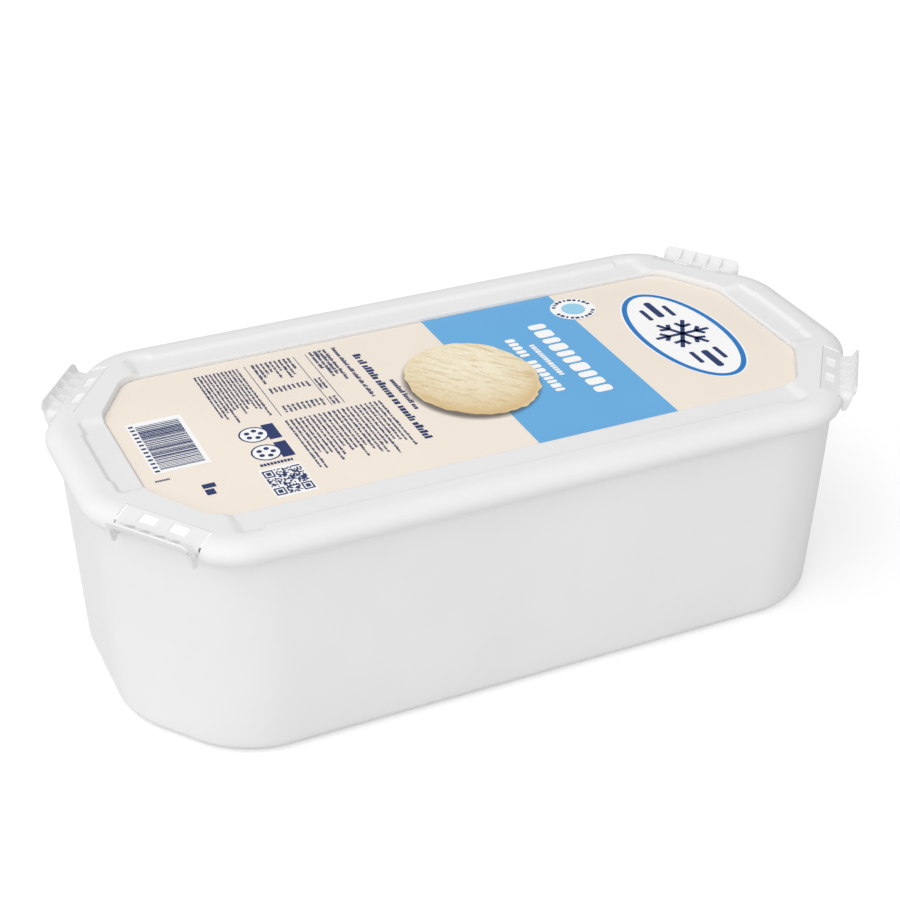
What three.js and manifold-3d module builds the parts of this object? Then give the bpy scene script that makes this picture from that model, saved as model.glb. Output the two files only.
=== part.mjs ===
// Five litre ice cream tub with a clip-down lid, shut and full
// Units are millimetres. +X runs along the tub, +Y across it and +Z up.
// The origin is the middle of the base, on the surface that the tub stands on.

import * as THREE from 'three';
import { mergeVertices } from 'three/addons/utils/BufferGeometryUtils.js';
import Module from 'manifold-3d';

// Heights
const shelfZ = 106;            // floor of the grooves in the lid's top, which other levels are measured from
const crownRise = 1.4;         // top of the lid's bead and of its corners above the shelf
const recessDepth = 1.9;       // floor of the label's recess below the shelf
const beadWidestDrop = 4.4;    // widest line of the bead below the shelf
const lipDrop = 9;             // bottom edge of the lid's skirt below the shelf

// Lid plan: a rectangle with its corners cut, the cuts rounded into the sides
const lidPlan = { halfX: 175.5, halfY: 88.2, cutX: 38.9, cutY: 54.7, radius: 25 };
const beadWidth = 9;           // from the widest line in to where the crown is level
const beadWidthCrown = 11.5;
const skirtTuck = 4.2;         // how far the skirt's bottom edge lies inside the widest line
const skirtThickness = 2.1;
const cornerSteps = 6;

// Label and its recess
const labelPlan = { halfX: 150, halfY: 61.3, cutX: 17.4, cutY: 28.4, radius: 9 };
const labelThickness = 0.4;
const gap = 0.3;               // clearance kept between neighbouring pieces
const recessDraft = 0.5;
const recessLip = 0.5;

// Grooves beside the label, one along each straight side of the lid
const grooveSlope = 2;         // width of a groove's sloping outer wall
const grooveEndSlope = 1.4;
const cutterRise = 0.4;        // how far a cutter stands out of the surface that it cuts
const longGroove = { half: 127.3, outer: 74.6, inner: 52, step: 116, widening: 2.2 };
const endGroove = { half: 30.5, outer: 162.5, inner: 138, step: 19, widening: -1.1 };

// Corner clips: a hinged strap across each cut corner, with a flared finger tab
const clipHinge = { x: 148, y: 55.5 };    // middle of the hinge line, in the quarter where x and y are positive
const clipAngle = Math.atan2(0.59, 0.808);
const clipHalf = 19.5;         // half the strap's width along the cut
const strapReach = 8.5;        // from the hinge line out to the root of the tab
const strapDrop = 2.6;         // fall of the strap over that reach
const strapThickness = 1.8;
const skirtGone = 5.8;         // the skirt is open under the strap from here outwards
const slitWidth = 0.9;
const slitStart = 1;           // the slits begin this far inside the hinge line
const slitFloor = -4;
const hingeGroove = { width: 0.7, depth: 0.5 };
const tabTip = { out: 15, up: 2.9 };      // from the hinge line, and above the shelf
const tabTipThickness = 1.7;
const tabRoot = 1.3;           // how far inside the strap's end the tab is rooted
const sideClearance = 0.1;     // the tab is this much narrower than the strap at each side
const tabEnd = { out: 11, foot: 8.2 };    // the ends turn down this far below the shelf
const tabStations = 22;
const endBlendStart = 0.74;    // share of the half width where the ends begin to turn down
const windowSize = { out: 4.4, along: 8 };
const windowPlace = { out: 3.9, along: 7.2 };
const windowFloor = -3.2;
const ribSize = { length: 6, width: 1.2, height: 1.1 };
const ribPitch = 7;
const ribCount = 4;

// Tub
const tubPlan = { halfX: 171, halfY: 83.7, cutX: 36, cutY: 47, radius: 44 };
const wallTaper = 0.047;       // how far the wall leans in for each millimetre of depth
const footRadius = 5.5;
const rimFlange = { proud: 0.5, thickness: 1.1 };
const footSteps = 5;
const clipCatch = { half: 17, drop: 6 };      // along the corner, and below the shelf

const plastic = { color: 0xe9ebec, roughness: 0.38, metalness: 0 };
const lidPlastic = { color: 0xf1f2f3, roughness: 0.34, metalness: 0 };
const labelFilm = { color: 0xefe6dc, roughness: 0.45, metalness: 0 };

const wasm = await Module();
wasm.setup();

// Outline of a rectangle with cut, rounded corners, moved inwards by inset
function planOutline(plan, inset = 0) {
  const cutLength = Math.hypot(plan.cutX, plan.cutY);
  const normalX = plan.cutY / cutLength;
  const normalY = plan.cutX / cutLength;
  const cutReach = normalX * plan.halfX + normalY * (plan.halfY - plan.cutY) - inset;
  const x = plan.halfX - inset;
  const y = plan.halfY - inset;
  const shoulderY = (cutReach - normalX * x) / normalY;
  const shoulderX = (cutReach - normalY * y) / normalX;
  const quarter = [[x, shoulderY], [shoulderX, y]];
  const corners = [
    ...quarter,
    ...quarter.map(([u, v]) => [-u, v]).reverse(),
    ...quarter.map(([u, v]) => [-u, -v]),
    ...quarter.map(([u, v]) => [u, -v]).reverse(),
  ].map(([u, v]) => new THREE.Vector2(u, v));
  return roundCorners(corners, plan.radius - inset);
}

// Arc of equal steps at every corner of an outline that turns left all the way
function roundCorners(corners, radius) {
  const points = [];
  corners.forEach((corner, index) => {
    const before = corners.at(index - 1);
    const after = corners[(index + 1) % corners.length];
    const arrive = corner.clone().sub(before).normalize();
    const leave = after.clone().sub(corner).normalize();
    const turn = Math.acos(THREE.MathUtils.clamp(arrive.dot(leave), -1, 1));
    const start = corner.clone().addScaledVector(arrive, -radius * Math.tan(turn / 2));
    const centre = start.clone().add(new THREE.Vector2(-arrive.y, arrive.x).multiplyScalar(radius));
    for (let step = 0; step <= cornerSteps; step += 1) {
      points.push(start.clone().rotateAround(centre, (turn * step) / cornerSteps));
    }
  });
  return points;
}

function levelRing(outline, z) {
  return outline.map((point) => new THREE.Vector3(point.x, point.y, z));
}

// Closed skin through rings of equal count. The first ring's cap is seen turning left.
function loft(rings) {
  const count = rings[0].length;
  const positions = rings.flat().flatMap((point) => point.toArray());
  const indices = [];
  for (let ring = 0; ring < rings.length - 1; ring += 1) {
    for (let side = 0; side < count; side += 1) {
      const a = ring * count + side;
      const b = ring * count + ((side + 1) % count);
      indices.push(a, a + count, b + count, a, b + count, b);
    }
  }
  indices.push(...capTriangles(rings[0], 0, false));
  indices.push(...capTriangles(rings.at(-1), (rings.length - 1) * count, true));
  const geometry = new THREE.BufferGeometry();
  geometry.setAttribute('position', new THREE.Float32BufferAttribute(positions, 3));
  geometry.setIndex(indices);
  return geometry;
}

// Triangles over a ring, worked out in the plane that shows the most of it
function capTriangles(ring, offset, turned) {
  const size = new THREE.Box3().setFromPoints(ring).getSize(new THREE.Vector3());
  const flat = ring.map((point) => (size.y < 1e-6
    ? new THREE.Vector2(point.x, point.z)
    : new THREE.Vector2(point.x, point.y)));
  return THREE.ShapeUtils.triangulateShape(flat, []).flatMap(([a, b, c]) => (
    turned ? [offset + a, offset + c, offset + b] : [offset + a, offset + b, offset + c]));
}

function toSolid(geometry) {
  const bare = geometry.clone();
  bare.deleteAttribute('normal');
  bare.deleteAttribute('uv');
  const merged = mergeVertices(bare, 1e-4);
  return new wasm.Manifold(new wasm.Mesh({
    numProp: 3,
    vertProperties: new Float32Array(merged.attributes.position.array),
    triVerts: new Uint32Array(merged.index.array),
  }));
}

function toGeometry(solid) {
  const mesh = solid.getMesh();
  const geometry = new THREE.BufferGeometry();
  geometry.setAttribute('position', new THREE.BufferAttribute(mesh.vertProperties, 3));
  geometry.setIndex(new THREE.BufferAttribute(mesh.triVerts, 1));
  geometry.computeVertexNormals();
  return geometry;
}

function quarterArc(steps, place) {
  return Array.from({ length: steps + 1 }, (_, step) => place((Math.PI / 2) * (step / steps)));
}

// Lid body: label recess, level crown, round bead, tucked-in skirt and a hollow for the tub's rim
function lidBody() {
  const crownZ = shelfZ + crownRise;
  const skirtInner = skirtTuck + skirtThickness;
  const ceilingZ = shelfZ - beadWidestDrop;
  const bead = quarterArc(7, (angle) => [
    beadWidth * (1 - Math.sin(angle)),
    ceilingZ + (beadWidestDrop + crownRise) * Math.cos(angle),
  ]);
  const skirt = quarterArc(5, (angle) => [
    skirtTuck * (1 - Math.cos(angle)),
    ceilingZ - (lipDrop - beadWidestDrop) * Math.sin(angle),
  ]).slice(1);
  return loft([
    levelRing(planOutline(labelPlan, recessDraft), shelfZ - recessDepth),
    levelRing(planOutline(labelPlan), crownZ - recessLip),
    levelRing(planOutline(labelPlan, -recessLip), crownZ),
    levelRing(planOutline(lidPlan, beadWidthCrown), crownZ),
    ...[...bead, ...skirt].map(([inset, z]) => levelRing(planOutline(lidPlan, inset), z)),
    levelRing(planOutline(lidPlan, skirtInner), shelfZ - lipDrop),
    levelRing(planOutline(lidPlan, skirtInner), ceilingZ),
  ]);
}

// Cutter for a groove along +Y, with a pocket at each end where its outer wall steps sideways
function grooveCutter(groove) {
  const above = 1 + cutterRise / crownRise;
  const ring = (share, z) => {
    const half = groove.half - grooveEndSlope * (1 - share);
    const outer = groove.outer - grooveSlope * (1 - share);
    const step = groove.step + Math.sign(groove.widening) * (grooveSlope / 2) * (1 - share);
    const stepLength = Math.abs(groove.widening);
    const right = [
      [half, groove.inner],
      [half, outer + groove.widening],
      [step + stepLength, outer + groove.widening],
      [step, outer],
    ];
    const outline = [...right, ...right.map(([x, y]) => [-x, y]).reverse()];
    return outline.map(([x, y]) => new THREE.Vector3(x, y, z));
  };
  return loft([ring(above, shelfZ + crownRise + cutterRise), ring(0, shelfZ)]);
}

// Box in a clip's own frame: x out from the hinge line, y along it, z above the shelf
function clipBox(outFrom, outTo, along, halfWidth, bottom, top) {
  const box = new THREE.BoxGeometry(outTo - outFrom, 2 * halfWidth, top - bottom);
  return box.translate((outFrom + outTo) / 2, along, (bottom + top) / 2);
}

// Flared tab as one skin, rooted in the strap, its ends turned down to the foot of the skirt
function clipTab() {
  const reach = clipHalf - sideClearance;
  const strapZ = (out) => crownRise - (strapDrop * out) / strapReach;
  const root = strapReach - tabRoot;
  const stations = Array.from({ length: tabStations + 1 }, (_, step) => {
    const along = reach * ((2 * step) / tabStations - 1);
    const down = THREE.MathUtils.smoothstep(Math.abs(along) / reach, endBlendStart, 1);
    const mix = (middle, end) => THREE.MathUtils.lerp(middle, end, down);
    const section = [
      [root, strapZ(root) - 0.5],
      [root, strapZ(root) - strapThickness + 0.3],
      [mix(strapReach + 0.9, strapReach + 1), mix(strapZ(strapReach) - strapThickness, -tabEnd.foot)],
      [mix(tabTip.out - 0.2, tabEnd.out - 0.4), mix(tabTip.up - tabTipThickness, -tabEnd.foot)],
      [mix(tabTip.out, tabEnd.out), mix(tabTip.up - 0.4, -4.4)],
      [mix(tabTip.out - 0.6, tabEnd.out - 0.8), mix(tabTip.up, -2.2)],
    ];
    return section.map(([out, z]) => new THREE.Vector3(out, along, z));
  });
  return loft(stations);
}

function tabRib(along) {
  const slope = Math.atan2(tabTip.up - crownRise + strapDrop, tabTip.out - strapReach);
  const rib = new THREE.BoxGeometry(ribSize.length, ribSize.width, ribSize.height);
  rib.translate(ribSize.length / 2, 0, 0);
  rib.rotateY(-slope);
  return rib.translate(strapReach - 0.2, along, crownRise - strapDrop + ribSize.height / 4);
}

// A shape in a clip's own frame, turned and moved to the corner of the given signs
function atCorner(geometry, signX, signY) {
  const angle = Math.atan2(signY * Math.sin(clipAngle), signX * Math.cos(clipAngle));
  const placed = geometry.clone().rotateZ(angle);
  return toSolid(placed.translate(signX * clipHinge.x, signY * clipHinge.y, shelfZ));
}

// Slits beside the strap, the open space under it, its sloping top and the thin hinge line
function clipCutters() {
  const far = tabEnd.out + 8;
  const slope = Math.atan2(strapDrop, strapReach);
  const midSlit = clipHalf + slitWidth / 2;
  const slits = [-1, 1].map((side) => clipBox(
    -slitStart, far, side * midSlit, slitWidth / 2, slitFloor, crownRise + 1,
  ));
  const underStrap = clipBox(skirtGone, far, 0, midSlit, -lipDrop - 4, -strapThickness);
  const overStrap = clipBox(0, far, 0, midSlit, 0, 3);
  [underStrap, overStrap].forEach((box) => box.rotateY(slope).translate(0, 0, crownRise));
  const hingeLine = clipBox(
    -hingeGroove.width / 2, hingeGroove.width / 2, 0, midSlit, crownRise - hingeGroove.depth, crownRise + 1,
  );
  return [...slits, underStrap, overStrap, hingeLine];
}

function clipWindows() {
  return [-1, 1].map((side) => clipBox(
    windowPlace.out - windowSize.out / 2,
    windowPlace.out + windowSize.out / 2,
    side * windowPlace.along,
    windowSize.along / 2,
    windowFloor,
    crownRise + 1,
  ));
}

function lid() {
  let solid = toSolid(lidBody());
  const longSide = grooveCutter(longGroove);
  const endSide = grooveCutter(endGroove);
  [longSide, longSide.clone().rotateZ(Math.PI)].forEach((cutter) => {
    solid = solid.subtract(toSolid(cutter));
  });
  [endSide.clone().rotateZ(Math.PI / 2), endSide.clone().rotateZ(-Math.PI / 2)].forEach((cutter) => {
    solid = solid.subtract(toSolid(cutter));
  });
  const ribs = Array.from({ length: ribCount }, (_, index) => tabRib(ribPitch * (index - (ribCount - 1) / 2)));
  [[1, 1], [-1, 1], [-1, -1], [1, -1]].forEach(([signX, signY]) => {
    clipCutters().forEach((cutter) => {
      solid = solid.subtract(atCorner(cutter, signX, signY));
    });
    [clipTab(), ...ribs].forEach((piece) => {
      solid = solid.add(atCorner(piece, signX, signY));
    });
    clipWindows().forEach((cutter) => {
      solid = solid.subtract(atCorner(cutter, signX, signY));
    });
  });
  return toGeometry(solid);
}

// The wall's top edge, carried up at each corner as a catch that the clip closes over
function wallTop(z) {
  return levelRing(planOutline(tubPlan), z).map((point) => {
    const place = new THREE.Vector2(Math.abs(point.x) - clipHinge.x, Math.abs(point.y) - clipHinge.y);
    place.rotateAround(new THREE.Vector2(), -clipAngle);
    const underClip = place.x > 0 && Math.abs(place.y) < clipCatch.half;
    return new THREE.Vector3(point.x, point.y, underClip ? shelfZ - clipCatch.drop : z);
  });
}

// Tub: rim inside the lid's skirt, thin flange under it, tapering wall and a round foot
function tub() {
  const flangeTop = shelfZ - lipDrop - gap;
  const flangeBottom = flangeTop - rimFlange.thickness;
  const rimTop = shelfZ - beadWidestDrop - gap;
  const rimInset = lidPlan.halfX - tubPlan.halfX;
  const insideSkirt = skirtTuck + skirtThickness + gap;
  const wallInset = (z) => wallTaper * (flangeBottom - z);
  const foot = quarterArc(footSteps, (angle) => {
    const z = footRadius * (1 - Math.sin(angle));
    return [wallInset(z) + footRadius * (1 - Math.cos(angle)), z];
  });
  return loft([
    levelRing(planOutline(lidPlan, insideSkirt), rimTop),
    levelRing(planOutline(lidPlan, insideSkirt), flangeTop),
    levelRing(planOutline(lidPlan, rimInset - rimFlange.proud), flangeTop),
    levelRing(planOutline(lidPlan, rimInset - rimFlange.proud), flangeBottom),
    wallTop(flangeBottom - 0.4),
    ...foot.map(([inset, z]) => levelRing(planOutline(tubPlan, inset), z)),
  ]);
}

function label() {
  const shape = new THREE.Shape(planOutline(labelPlan, recessDraft + gap));
  const sheet = new THREE.ExtrudeGeometry(shape, { depth: labelThickness, bevelEnabled: false });
  return sheet.translate(0, 0, shelfZ - recessDepth + gap);
}

function piece(name, geometry, finish) {
  const mesh = new THREE.Mesh(geometry, new THREE.MeshStandardMaterial(finish));
  mesh.name = name;
  return mesh;
}

const group = new THREE.Group();
group.add(piece('tub', tub(), plastic));
group.add(piece('lid', lid(), lidPlastic));
group.add(piece('label', label(), labelFilm));

export default group;
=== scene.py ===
# Looks of a five litre ice cream tub with a clip-down lid and a printed label
import math
import random

import bmesh
import bpy
from mathutils import Matrix, Vector, noise


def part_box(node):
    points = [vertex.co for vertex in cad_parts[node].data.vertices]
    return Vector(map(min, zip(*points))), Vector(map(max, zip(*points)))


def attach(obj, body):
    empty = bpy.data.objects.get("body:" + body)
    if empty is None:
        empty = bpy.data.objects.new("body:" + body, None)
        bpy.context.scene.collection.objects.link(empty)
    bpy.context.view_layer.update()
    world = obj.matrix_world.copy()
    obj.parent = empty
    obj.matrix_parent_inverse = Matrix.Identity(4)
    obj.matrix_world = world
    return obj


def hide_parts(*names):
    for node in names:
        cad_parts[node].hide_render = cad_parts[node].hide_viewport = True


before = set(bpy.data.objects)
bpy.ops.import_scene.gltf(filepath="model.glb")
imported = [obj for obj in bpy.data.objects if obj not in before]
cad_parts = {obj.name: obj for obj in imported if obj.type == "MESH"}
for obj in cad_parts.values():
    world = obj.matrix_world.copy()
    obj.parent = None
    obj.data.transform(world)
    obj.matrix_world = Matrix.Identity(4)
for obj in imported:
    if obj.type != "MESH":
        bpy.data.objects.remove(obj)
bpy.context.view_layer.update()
print("frame loaded:", ", ".join(sorted(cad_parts)))

# Sizes are in millimetres in the frame's axes, and each finished mesh is scaled to metres
mm = 0.001
lidLow, lidHigh = (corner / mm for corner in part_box("lid"))
labelLow, labelHigh = (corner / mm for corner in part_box("label"))
lipDrop = 9.0                 # from the shelf down to the bottom edge of the lid's skirt
shelf = lidLow.z + lipDrop    # floor of the grooves in the lid's top, which other levels are measured from
labelTop = labelHigh.z
weldDistance = 0.0005
sharpAngle = 35               # degrees between faces, from where an edge is shaded sharp


# Small helpers for shapes and pieces

def smooth(value, low, high):
    share = min(max((value - low) / (high - low), 0.0), 1.0)
    return share * share * (3 - 2 * share)


def blend(a, b, share):
    return a + (b - a) * share


# The one flat face that a call added, told from the faces that were there before
def newFace(bm, before):
    return next(face for face in bm.faces if face not in before)


# Faces that a group of vertices touches, each once and in a fixed order
def facesOf(verts):
    return list(dict.fromkeys(face for vert in verts for face in vert.link_faces))


# Flat face of a plan: eight corners rounded by a vertex bevel, straight sides divided evenly
def planFace(bm, plan, inset, z, cuts, arcSteps=6):
    cutLength = math.hypot(plan["cutX"], plan["cutY"])
    normalX = plan["cutY"] / cutLength
    normalY = plan["cutX"] / cutLength
    reach = normalX * plan["halfX"] + normalY * (plan["halfY"] - plan["cutY"]) - inset
    x = plan["halfX"] - inset
    y = plan["halfY"] - inset
    endCorner = (x, (reach - normalX * x) / normalY)
    sideCorner = ((reach - normalY * y) / normalX, y)
    endTurn = math.atan2(plan["cutX"], plan["cutY"])
    before = set(bm.faces)
    edgesBefore = set(bm.edges)
    quarter = [endCorner, sideCorner]
    places = quarter + [(-u, v) for u, v in reversed(quarter)]
    places += [(-u, -v) for u, v in quarter] + [(u, -v) for u, v in reversed(quarter)]
    verts = [bm.verts.new((u, v, z)) for u, v in places]
    bm.faces.new(verts)
    endVerts = [verts[index] for index in (0, 3, 4, 7)]
    sideVerts = [verts[index] for index in (1, 2, 5, 6)]
    for group, turn in ((endVerts, endTurn), (sideVerts, math.pi / 2 - endTurn)):
        bmesh.ops.bevel(bm, geom=group, offset=(plan["radius"] - inset) * math.tan(turn / 2),
                        offset_type="OFFSET", segments=arcSteps, profile=0.5, affect="VERTICES",
                        material=-1, clamp_overlap=False)
    rough = newFace(bm, before)
    sides = {"long": [], "end": [], "cut": []}
    for edge in sorted(rough.edges, key=lambda e: -e.calc_length())[:8]:
        run = edge.verts[0].co - edge.verts[1].co
        kind = "long" if abs(run.y) < 0.01 else "end" if abs(run.x) < 0.01 else "cut"
        sides[kind].append(edge)
    bmesh.ops.delete(bm, geom=[rough], context="FACES_ONLY")
    for kind, edges in sides.items():
        bmesh.ops.subdivide_edges(bm, edges=edges, cuts=cuts[kind])
    outline = [edge for edge in bm.edges if edge not in edgesBefore]
    face = bmesh.ops.edgeloop_fill(bm, edges=outline)["faces"][0]
    face.normal_update()
    if face.normal.z < 0:
        face.normal_flip()
    return face


# Walks a face inwards and along its normal through (inset, rise) steps, and leaves a wall behind it
def walkFace(bm, face, steps):
    for thickness, depth in steps:
        bmesh.ops.inset_individual(bm, faces=[face], thickness=thickness, depth=depth,
                                   use_even_offset=True)


# Steps between the points of a profile of (inset, height)
def profileSteps(points, sign=1):
    return [(b[0] - a[0], sign * (b[1] - a[1])) for a, b in zip(points, points[1:])]


def quarterArc(count, place):
    return [place(math.pi / 2 * step / count) for step in range(count + 1)]


def meshObject(name, bm):
    mesh = bpy.data.meshes.new(name)
    bm.to_mesh(mesh)
    bm.free()
    made = bpy.data.objects.new(name, mesh)
    bpy.context.scene.collection.objects.link(made)
    return made


def finishPiece(name, bm, materials, node, sharp=sharpAngle, fixNormals=True):
    if fixNormals:
        bmesh.ops.remove_doubles(bm, verts=bm.verts[:], dist=weldDistance)
        bmesh.ops.recalc_face_normals(bm, faces=bm.faces[:])
    bmesh.ops.scale(bm, vec=(mm, mm, mm), verts=bm.verts[:])
    piece = meshObject(name, bm)
    piece.data.shade_smooth()
    piece.data.set_sharp_from_angle(angle=math.radians(sharp))
    for material in materials:
        piece.data.materials.append(material)
    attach(piece, "root")
    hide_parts(node)
    return piece


def finishPrint(name, bm, material):
    return finishPiece(name, bm, [material], "label", fixNormals=False)


# Shader helpers

midNoise = (0.3, 0.7)    # most of a noise texture's values lie in this range


def srgb(red, green, blue):
    def linear(value):
        share = value / 255
        return share / 12.92 if share <= 0.04045 else ((share + 0.055) / 1.055) ** 2.4
    return (linear(red), linear(green), linear(blue), 1.0)


def addNode(tree, kind, **values):
    node = tree.nodes.new(kind)
    for key, value in values.items():
        setattr(node, key, value)
    return node


# Sets a socket to a plain value, or links a node's output to it
def plug(tree, value, socket):
    if isinstance(value, (int, float, tuple)):
        socket.default_value = value
    else:
        tree.links.new(value, socket)


def setInputs(node, values):
    for name, value in values.items():
        node.inputs[name].default_value = value


def mathNode(tree, operation, *values, clamp=False):
    node = addNode(tree, "ShaderNodeMath", operation=operation, use_clamp=clamp)
    for socket, value in zip(node.inputs, values):
        plug(tree, value, socket)
    return node.outputs[0]


def total(tree, a, b):
    return mathNode(tree, "ADD", a, b)


def product(tree, a, b):
    return mathNode(tree, "MULTIPLY", a, b)


def mixColour(tree, factor, a, b):
    node = addNode(tree, "ShaderNodeMix", data_type="RGBA")
    for index, value in ((0, factor), (6, a), (7, b)):
        plug(tree, value, node.inputs[index])
    return node.outputs[2]


def scaleColour(tree, colour, shade, target):
    node = addNode(tree, "ShaderNodeVectorMath", operation="SCALE")
    tree.links.new(colour, node.inputs[0])
    tree.links.new(shade, node.inputs["Scale"])
    tree.links.new(node.outputs[0], target)


def spread(tree, value, low, high, toLow=0.0, toHigh=1.0):
    node = addNode(tree, "ShaderNodeMapRange", clamp=True)
    tree.links.new(value, node.inputs["Value"])
    setInputs(node, {"From Min": low, "From Max": high, "To Min": toLow, "To Max": toHigh})
    return node.outputs["Result"]


def noiseNode(tree, vector, scale, detail=2.0, rough=0.5, warp=0.0):
    node = addNode(tree, "ShaderNodeTexNoise")
    tree.links.new(vector, node.inputs["Vector"])
    setInputs(node, {"Scale": scale, "Detail": detail, "Roughness": rough, "Distortion": warp})
    return node.outputs["Fac"]


def objectPlace(tree):
    return addNode(tree, "ShaderNodeTexCoord").outputs["Object"]


def mapPlace(tree, vector, scale, turn=0.0, location=(0, 0, 0)):
    node = addNode(tree, "ShaderNodeMapping", vector_type="TEXTURE")
    setInputs(node, {"Location": location, "Rotation": (0, 0, turn), "Scale": scale})
    tree.links.new(vector, node.inputs["Vector"])
    return node.outputs[0]


# Bump of a depth in millimetres
def addBump(tree, shader, height, depth):
    bump = addNode(tree, "ShaderNodeBump")
    bump.inputs["Distance"].default_value = depth * mm
    tree.links.new(height, bump.inputs["Height"])
    tree.links.new(bump.outputs["Normal"], shader.inputs["Normal"])


# Group that gives a surface's colour, roughness and height
def newGroup(name, inputs):
    tree = bpy.data.node_groups.new(name, "ShaderNodeTree")
    for direction, labels in (("INPUT", inputs), ("OUTPUT", ("Colour", "Roughness", "Height"))):
        for label in labels:
            kind = "NodeSocketColor" if label == "Colour" else "NodeSocketFloat"
            tree.interface.new_socket(label, in_out=direction, socket_type=kind)
    return tree, addNode(tree, "NodeGroupInput"), addNode(tree, "NodeGroupOutput")


def newMaterial(name):
    material = bpy.data.materials.new(name)
    material.use_nodes = True
    tree = material.node_tree
    return material, tree, tree.nodes["Principled BSDF"]


def addGroup(tree, group, values):
    node = addNode(tree, "ShaderNodeGroup", node_tree=group)
    setInputs(node, values)
    return node


# Noise scales are for metres, the turn is in radians and the print's depth in millimetres
plasticLook = {
    "cloudScale": 14, "grainScale": 2600, "pebbleScale": 900, "rubScale": 420, "rubStretch": 9,
    "rubTurn": 0.35, "rubRange": (0.62, 0.74), "rubPatchScale": 22, "rubPatchRange": (0.5, 0.66),
    "rubDarkens": 0.03, "rubRoughens": 0.12, "grainRoughens": 0.04, "cloudRoughens": 0.03, "ior": 1.49,
}
printLook = {
    "screenScale": 3200, "patchScale": 30, "filmScale": 16, "speckScale": 1100,
    "speckRange": (0.35, 0.65), "speckHeight": 0.05, "patchRoughens": 0.05, "speckRoughens": 0.03,
    "depth": 0.05,
}


# Moulded polypropylene: cloudy flow marks, a fine satin grain over a coarser one, and rubs in patches
def makePlasticGroup():
    look = plasticLook
    tree, given, made = newGroup("mouldedPlastic", ("Colour", "Cloud", "Roughness", "Grain", "Rubs"))
    place = objectPlace(tree)
    cloud = noiseNode(tree, place, look["cloudScale"], detail=4, rough=0.55, warp=0.6)
    grain = noiseNode(tree, place, look["grainScale"], detail=2)
    pebble = noiseNode(tree, place, look["pebbleScale"], detail=1)
    stretched = mapPlace(tree, place, (look["rubStretch"], 1, 1), look["rubTurn"])
    rub = spread(tree, noiseNode(tree, stretched, look["rubScale"], detail=3), *look["rubRange"])
    patch = noiseNode(tree, place, look["rubPatchScale"], detail=2)
    rubPatch = spread(tree, patch, *look["rubPatchRange"])
    rubs = product(tree, product(tree, rub, rubPatch), given.outputs["Rubs"])
    shade = product(tree, spread(tree, cloud, *midNoise, -0.5, 0.5), given.outputs["Cloud"])
    darker = product(tree, rubs, look["rubDarkens"])
    shade = mathNode(tree, "SUBTRACT", total(tree, shade, 1.0), darker)
    scaleColour(tree, given.outputs["Colour"], shade, made.inputs["Colour"])
    grainRough = spread(tree, grain, *midNoise, -look["grainRoughens"], look["grainRoughens"])
    cloudRough = spread(tree, cloud, *midNoise, -look["cloudRoughens"], look["cloudRoughens"])
    rough = total(tree, given.outputs["Roughness"], grainRough)
    rough = total(tree, rough, product(tree, rubs, look["rubRoughens"]))
    tree.links.new(total(tree, rough, cloudRough), made.inputs["Roughness"])
    height = total(tree, product(tree, grain, 0.5), pebble)
    height = mathNode(tree, "SUBTRACT", product(tree, height, given.outputs["Grain"]), rubs)
    tree.links.new(height, made.inputs["Height"])
    return tree


# Ink on film: a fine screen of the print, patchy ink weight and a slight wrinkle of the film
def makePrintGroup():
    look = printLook
    tree, given, made = newGroup("printedFilm", ("Colour", "Screen", "Patch", "Roughness"))
    place = objectPlace(tree)
    screen = noiseNode(tree, place, look["screenScale"], detail=1)
    patch = noiseNode(tree, place, look["patchScale"], detail=3, rough=0.6)
    film = noiseNode(tree, place, look["filmScale"], detail=2, warp=0.4)
    speck = noiseNode(tree, place, look["speckScale"], detail=2)
    shade = product(tree, spread(tree, screen, *midNoise, -0.5, 0.5), given.outputs["Screen"])
    weight = product(tree, spread(tree, patch, *midNoise, -0.5, 0.5), given.outputs["Patch"])
    shade = total(tree, total(tree, shade, weight), 1.0)
    scaleColour(tree, given.outputs["Colour"], shade, made.inputs["Colour"])
    patchRough = spread(tree, patch, *midNoise, -look["patchRoughens"], look["patchRoughens"])
    speckRough = spread(tree, speck, *look["speckRange"], -look["speckRoughens"], look["speckRoughens"])
    rough = total(tree, given.outputs["Roughness"], patchRough)
    tree.links.new(total(tree, rough, speckRough), made.inputs["Roughness"])
    height = total(tree, film, product(tree, speck, look["speckHeight"]))
    tree.links.new(height, made.inputs["Height"])
    return tree


plasticGroup = makePlasticGroup()
printGroup = makePrintGroup()


def finishSurface(tree, shader, group, depth):
    tree.links.new(group.outputs["Colour"], shader.inputs["Base Color"])
    tree.links.new(group.outputs["Roughness"], shader.inputs["Roughness"])
    addBump(tree, shader, group.outputs["Height"], depth)


def plasticMaterial(name, colour, cloud, roughness, grain, rubs, depth):
    material, tree, shader = newMaterial(name)
    group = addGroup(tree, plasticGroup, {"Colour": srgb(*colour), "Cloud": cloud,
                                          "Roughness": roughness, "Grain": grain, "Rubs": rubs})
    finishSurface(tree, shader, group, depth)
    shader.inputs["IOR"].default_value = plasticLook["ior"]
    return material


def inkMaterial(name, colour, screen, patch, roughness):
    material, tree, shader = newMaterial(name)
    group = addGroup(tree, printGroup, {"Colour": srgb(*colour), "Screen": screen,
                                        "Patch": patch, "Roughness": roughness})
    finishSurface(tree, shader, group, printLook["depth"])
    return material


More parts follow.
